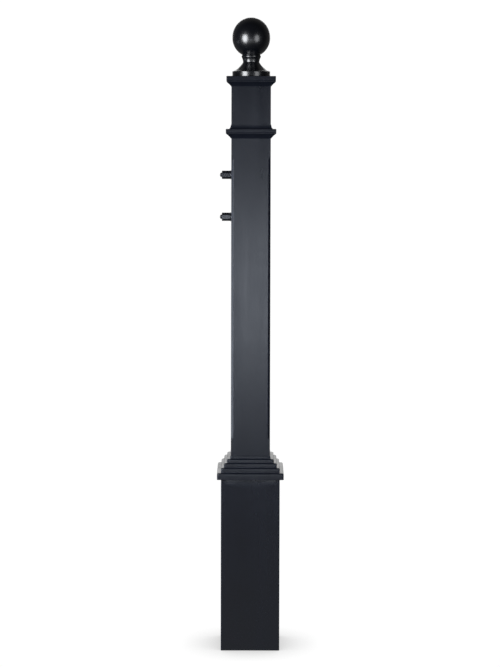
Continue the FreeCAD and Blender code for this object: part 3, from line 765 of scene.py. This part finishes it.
class POST_OT_collar(bpy.types.Operator):
    """The trim collar: splay, bead, fascia, shelf and an upper cove, clamped by two set screws."""

    bl_idname = "post.collar"
    bl_label = "Trim collar"

    def execute(self, context):
        sizes = context.scene.post_mouldings
        fasteners = context.scene.post_fasteners
        half, bottom, top = COLLAR_HIGH[0], COLLAR_LOW[2], COLLAR_HIGH[2]
        bore = SHAFT_HIGH[0] + sizes.fit
        splay, bead, fascia = sizes.collar
        shelf = bottom + splay + bead + fascia
        lip, foot = (bore + sizes.cove_lip, top), (bore + sizes.cove, shelf)
        hollow = (lip[0] + (foot[0] - lip[0]) * 0.3, shelf + (top - shelf) * 0.4)
        runs = lower_mouldings(sizes, half, bottom, splay, bead)
        runs += [
            nosing(half, shelf, sizes.edge),
            corner(*foot, BREAK),
            arc(foot, hollow, lip)[1:],
            corner(bore, top, 0.15 * MM),
            corner(bore, bottom, 0.15 * MM),
        ]
        collar = square_moulding("collar", runs)
        bored(collar, screw_holes(fasteners.set_screw, half, half - bore, "collar_set_screws"))
        stand_for(collar, "trim_collar")
        return {"FINISHED"}


class POST_OT_cap(bpy.types.Operator):
    """The cap: splay, bead and fascia under a level top, with a plug down inside the shaft."""

    bl_idname = "post.cap"
    bl_label = "Cap"

    def execute(self, context):
        sizes = context.scene.post_mouldings
        fasteners = context.scene.post_fasteners
        half, top, shaft_top = CAP_HIGH[0], CAP_HIGH[2], SHAFT_HIGH[2]
        bore = SHAFT_HIGH[0] + sizes.fit
        plug = SHAFT_HIGH[0] - context.scene.post_shaft.wall - sizes.fit
        splay, bead, fascia = sizes.cap
        bottom = top - splay - bead - fascia
        stud = context.scene.post_finial.hole[0]
        runs = lower_mouldings(sizes, half, bottom, splay, bead)
        runs += [
            nosing(half, top, sizes.edge),
            corner(stud, top, 0.1 * MM),
            corner(stud, shaft_top, 0.1 * MM),
            corner(plug - sizes.skirt_wall, shaft_top, 0.8 * MM),
            corner(plug - sizes.skirt_wall, CAP_LOW[2], BREAK),
            corner(plug, CAP_LOW[2], 0.5 * MM),
            corner(plug, shaft_top, BREAK),
            corner(bore, shaft_top, BREAK),
            corner(bore, bottom, 0.15 * MM),
        ]
        cap = square_moulding("cap_casting", runs)
        bored(cap, screw_holes(fasteners.pan_shank, plug, sizes.skirt_wall, "cap_screws"))
        stand_for(cap, "cap")
        return {"FINISHED"}


class POST_OT_finial(bpy.types.Operator):
    """The turned finial: a disc, a flare to a waist, a neck with a ring, and the ball on it."""

    bl_idname = "post.finial"
    bl_label = "Finial"

    def execute(self, context):
        sizes = context.scene.post_finial
        low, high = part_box("finial")
        foot, disc = low[2], high[0]
        disc_top, ring_low = foot + sizes.disc, foot + sizes.neck[1]
        ring_high = ring_low + sizes.ring[1]
        waist = (sizes.waist[0], foot + sizes.waist[1])
        neck = (sizes.neck[0], ring_low)
        neck_middle = ((waist[0] + neck[0]) / 2 - sizes.neck_hollow, (waist[1] + ring_low) / 2)
        ring_middle = (sizes.ring[0], ring_low + sizes.ring[1] / 2)
        centre = high[2] - sizes.ball_height
        sweep = np.linspace(-math.acos(sizes.seat / disc), math.pi / 2, 110)
        ball = np.column_stack([disc * np.cos(sweep), centre + sizes.ball_height * np.sin(sweep), 0 * sweep])
        ball[-1, 0] = 0
        runs = [
            corner(0, foot + sizes.hole[1]),
            corner(sizes.hole[0], foot + sizes.hole[1], 0.2 * MM),
            corner(sizes.hole[0], foot, BREAK),
            corner(disc, foot, 0.5 * MM),
            nosing(disc, disc_top, sizes.disc_round),
            arc((disc - sizes.disc_round, disc_top), (sizes.flare[0], foot + sizes.flare[1]), waist, 28)[1:],
            arc(waist, neck_middle, neck)[1:],
            arc(neck, ring_middle, (sizes.seat, ring_high), 12)[1:],
            ball[1:],
        ]
        stand_for(turned("finial_turning", runs), "finial")
        return {"FINISHED"}


class POST_OT_studs(bpy.types.Operator):
    """The two bracket studs: a rolled thread, then a bevelled pilot with a domed end."""

    bl_idname = "post.studs"
    bl_label = "Bracket studs"

    def execute(self, context):
        sizes = context.scene.post_fasteners
        for side in STUD_SIDES:
            low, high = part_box(side + "_mounting_stud")
            radius, length = (high[1] - low[1]) / 2, high[0] - low[0]
            pilot, tip, bevel, dome = sizes.pilot
            shoulder = length - tip
            dome_middle = (pilot * 0.62, length - dome * 0.36)
            end = arc((pilot - 0.2 * MM, length - dome), dome_middle, (0, length), 12)
            end[-1, 0] = 0
            stations = np.arange(bevel, shoulder - 0.05 * MM, sizes.thread_pitch / 14)
            thread = np.column_stack([np.full(stations.size, radius), stations, 0 * stations])
            runs = [
                corner(0, 0),
                corner(radius - bevel, 0, 0.1 * MM),
                thread,
                corner(radius, shoulder),
                corner(pilot, shoulder + bevel, 0.2 * MM),
                corner(pilot, length - dome - 0.2 * MM),
                end,
            ]
            outline, on_edge = eased(runs)
            angle = np.linspace(0, 2 * math.pi, 72, endpoint=False)[None, :]
            out, along = outline[:, :1], outline[:, 1:]
            run_in = np.clip(np.minimum(along - bevel, shoulder - along) / sizes.thread_pitch + 0.15, 0, 1)
            groove = sizes.thread_depth * thread_wave(along, angle, sizes.thread_pitch)
            out = out - groove * run_in * (out > radius - 0.01 * MM)
            start = (high[0], 0, middle_height(side + "_mounting_stud"))
            stud = surface(side + "_stud", facing_out(out, along, angle, start), on_edge[:, None], False)
            stand_for(stud, side + "_mounting_stud")
        return {"FINISHED"}


class POST_OT_nuts(bpy.types.Operator):
    """The long coupling nuts: a hexagon under a 30 degree cone at each end, tapped right through."""

    bl_idname = "post.nuts"
    bl_label = "Coupling nuts"

    def execute(self, context):
        sizes = context.scene.post_fasteners
        for side in STUD_SIDES:
            low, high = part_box(side + "_coupling_nut")
            stud_low, stud_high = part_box(side + "_mounting_stud")
            flat, length = (high[1] - low[1]) / 2, high[0] - low[0]
            point = flat / math.cos(math.pi / 6)
            bore = (stud_high[1] - stud_low[1]) / 2 + sizes.thread_gap
            angle = np.linspace(0, 2 * math.pi, AROUND, endpoint=False)[None, :]
            facet = (angle - math.pi / 2 + math.pi / 6) % (math.pi / 3) - math.pi / 6
            hexagon = np.minimum(flat / np.cos(facet), point - 0.2 * MM)
            near = np.linspace(0, 1.4 * MM, 10)
            along = np.concatenate([near, length - near[::-1]])[:, None]
            cone = point - sizes.nut_bevel + np.minimum(along, length - along) / math.tan(math.pi / 6)
            outside = np.minimum(hexagon, cone)
            inward = np.arange(0.5 * MM, length - 0.5 * MM, sizes.thread_pitch / 12)[::-1, None]
            groove = 0.5 * sizes.thread_depth * (1 - thread_wave(inward, angle, sizes.thread_pitch))
            mouths = [(bore + 0.7 * MM, length), (bore + 0.1 * MM, length - 0.5 * MM)]
            mouths += [(bore + 0.1 * MM, 0.5 * MM), (bore + 0.7 * MM, 0)]
            rings = [np.full((1, AROUND), radius) for radius, _ in mouths]
            out = np.vstack([outside, *rings[:2], bore + groove, *rings[2:]])
            places = [place for _, place in mouths]
            reach = np.concatenate([along[:, 0], places[:2], inward[:, 0], places[2:]])
            start = (high[0], 0, middle_height(side + "_coupling_nut"))
            grid = facing_out(out, reach[:, None], angle, start)
            nut = surface(side + "_nut_hexagon", grid)
            nut.data.set_sharp_from_angle(angle=math.radians(38))
            stand_for(nut, side + "_coupling_nut")
        return {"FINISHED"}


class POST_OT_washers(bpy.types.Operator):
    """The flat washers under the coupling nuts, with their stamped edges rounded over."""

    bl_idname = "post.washers"
    bl_label = "Washers"

    def execute(self, context):
        sizes = context.scene.post_fasteners
        for side in STUD_SIDES:
            low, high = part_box(side + "_washer")
            stud_low, stud_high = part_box(side + "_mounting_stud")
            rim, thick = (high[1] - low[1]) / 2, high[0] - low[0]
            bore = (stud_high[1] - stud_low[1]) / 2 + sizes.washer_gap
            runs = [
                corner(rim, 0, 0.2 * MM),
                corner(rim, thick, 0.5 * MM),
                corner(bore, thick, BREAK),
                corner(bore, 0, 0.2 * MM),
            ]
            outline, on_edge = eased(runs, hold=0.05 * MM)
            angle = np.linspace(0, 2 * math.pi, AROUND, endpoint=False)[None, :]
            start = (high[0], 0, middle_height(side + "_washer"))
            grid = facing_out(outline[:, :1], outline[:, 1:], angle, start)
            stand_for(surface(side + "_washer_ring", grid, on_edge[:, None]), side + "_washer")
        return {"FINISHED"}


# ---- the studio ----
WARM = (0.95, 0.97, 1.0)
COOL = (0.82, 0.89, 1.0)
# Each light's spot, target, width and height, tint, shape, and the angle that it spreads over.
LIGHTS = {
    "left": ((-1.23, -1.58, 1.28), (0, 0, 1.2), (1.1, 1.5), WARM, "ELLIPSE", math.pi),
    "right": ((1.12, -1.66, 1.3), (0, 0, 1.2), (1.0, 1.3), WARM, "ELLIPSE", math.pi),
    "low": ((0.0, -2.4, 0.76), (0, 0, 0.83), (1.5, 0.5), COOL, "RECTANGLE", 0.62),
    "side": ((-2.2, 0.1, 0.5), (0, 0, 0.5), (1.0, 0.9), COOL, "RECTANGLE", 0.75),
}


def area_light(name, power, spot, target, extent, tint, shape, spread):
    """A soft light at a spot, turned to face a target."""
    light = bpy.data.lights.new(name, "AREA")
    light.shape = shape
    light.size, light.size_y = extent
    light.energy, light.color, light.spread = power, tint, spread
    lamp = bpy.data.objects.new(name, light)
    lamp.location = spot
    lamp.visible_camera = False
    aim = Vector(target) - lamp.location
    lamp.rotation_euler = aim.to_track_quat("-Z", "Y").to_euler()
    bpy.context.scene.collection.objects.link(lamp)


class POST_OT_studio(bpy.types.Operator):
    """The camera, a plain pale floor, a white backdrop behind, and soft lights in front."""

    bl_idname = "post.studio"
    bl_label = "Studio"

    def execute(self, context):
        studio = context.scene.post_studio
        self.camera(context, studio)
        self.floor(studio)
        self.room(studio)
        context.scene.view_settings.view_transform = "Standard"
        for side, place in LIGHTS.items():
            area_light(side + "_light", getattr(studio, side), *place)
        return {"FINISHED"}

    def camera(self, context, studio):
        """The camera looks towards +Y, tilted down a little."""
        lens = bpy.data.cameras.new("camera")
        lens.lens = studio.lens
        lens.shift_x, lens.shift_y = studio.shift
        camera = bpy.data.objects.new("camera", lens)
        turn = Matrix.Rotation(math.pi / 2 - studio.tilt, 4, "X") @ Matrix.Rotation(studio.roll, 4, "Z")
        camera.matrix_world = Matrix.Translation((0, -studio.distance, studio.height)) @ turn
        context.scene.collection.objects.link(camera)
        context.scene.camera = camera

    def floor(self, studio):
        """A wide white floor that glows evenly, with a painted contact shadow close under the object."""
        nodes = Nodes("floor")
        # painted shadow: ambient occlusion darkens the floor's glow close under the object
        near = nodes.add("ShaderNodeAmbientOcclusion", {"Distance": 0.12}, samples=8).outputs["AO"]
        grain = nodes.between(nodes.noise(3.0), 0.98, 1.0)
        glow_with_painted_shadow = nodes.math("MULTIPLY", nodes.between(near, 0.35, 1.0), grain)
        shine = nodes.math("MULTIPLY", glow_with_painted_shadow, studio.white)
        light = nodes.add("ShaderNodeEmission", {"Color": (1, 1, 1, 1), "Strength": shine})
        nodes.add("ShaderNodeOutputMaterial", {"Surface": light.outputs[0]})
        reach = np.array([[-40.0, -40, 0], [40, -40, 0], [40, 40, 0], [-40, 40, 0]])
        mesh = bpy.data.meshes.new("floor")
        mesh.from_pydata((reach + [0, 0, FRAME_BOUNDS[0][2] - 0.5 * MM]).tolist(), [], [(0, 1, 2, 3)])
        mesh.materials.append(bpy.data.materials["floor"])
        floor = bpy.data.objects.new("floor", mesh)
        floor.visible_glossy = False
        floor.visible_diffuse = False
        bpy.context.scene.collection.objects.link(floor)

    def room(self, studio):
        """The room: white as seen directly, and dim in reflections.

        Those hold a little more light behind the post, a white backdrop there above the horizon,
        and a patch of pale floor.
        """
        world = bpy.data.worlds.new("room")
        bpy.context.scene.world = world
        nodes = Nodes(world)
        sideways, ahead, up = nodes.add("ShaderNodeSeparateXYZ", {0: nodes.generated}).outputs
        aside = nodes.math("ABSOLUTE", sideways, 0.0)
        behind = nodes.between(ahead, studio.room, studio.behind, 0.0, 0.6)
        sheet = nodes.between(ahead, 0.0, studio.backdrop, 0.86, 0.95)
        sheet = nodes.math("MULTIPLY", sheet, nodes.between(up, 0.0, 1.0, -0.06, 0.04))
        floor = nodes.between(up, studio.ground, 0.0, -0.3, -0.1)
        floor = nodes.math("MULTIPLY", floor, nodes.between(aside, 1.0, 0.0, 0.1, 0.35))
        floor = nodes.math("MULTIPLY", floor, nodes.between(up, 0.0, 1.0, -0.6, -0.4))
        total = nodes.math("ADD", nodes.math("ADD", behind, sheet), floor)
        seen = nodes.add("ShaderNodeLightPath").outputs["Is Camera Ray"]
        shine = nodes.between(seen, total, studio.white)
        light = nodes.add("ShaderNodeBackground", {"Color": (1, 1, 1, 1), "Strength": shine})
        nodes.add("ShaderNodeOutputWorld", {"Surface": light.outputs[0]})


PROPERTIES = {
    "post_shaft": ShaftSizes,
    "post_base": BaseSizes,
    "post_mouldings": MouldingSizes,
    "post_finial": FinialSizes,
    "post_fasteners": FastenerSizes,
    "post_finishes": Finishes,
    "post_studio": Studio,
}
OPERATORS = (
    POST_OT_finishes,
    POST_OT_shaft,
    POST_OT_weld,
    POST_OT_base_box,
    POST_OT_base_crown,
    POST_OT_collar,
    POST_OT_cap,
    POST_OT_finial,
    POST_OT_studs,
    POST_OT_nuts,
    POST_OT_washers,
    POST_OT_studio,
)


class POST_PT_panel(bpy.types.Panel):
    """Lists the post's pieces and its studio."""

    bl_label = "Square Post"
    bl_space_type = "VIEW_3D"
    bl_region_type = "UI"
    bl_category = "Post"

    def draw(self, context):
        for operator in OPERATORS:
            self.layout.operator(operator.bl_idname)
        for group in PROPERTIES:
            box = self.layout.box()
            box.label(text=group.replace("_", " "))
            for name in PROPERTIES[group].__annotations__:
                box.prop(getattr(context.scene, group), name)


def register():
    for group in (*PROPERTIES.values(), *OPERATORS, POST_PT_panel):
        bpy.utils.register_class(group)
    for name, group in PROPERTIES.items():
        setattr(bpy.types.Scene, name, bpy.props.PointerProperty(type=group))


def unregister():
    for name in PROPERTIES:
        delattr(bpy.types.Scene, name)
    for group in (POST_PT_panel, *OPERATORS, *PROPERTIES.values()):
        bpy.utils.unregister_class(group)


def main():
    """Makes everything in order."""
    register()
    for operator in OPERATORS:
        kind, name = operator.bl_idname.split(".")
        getattr(getattr(bpy.ops, kind), name)()


if __name__ == "__main__":
    main()
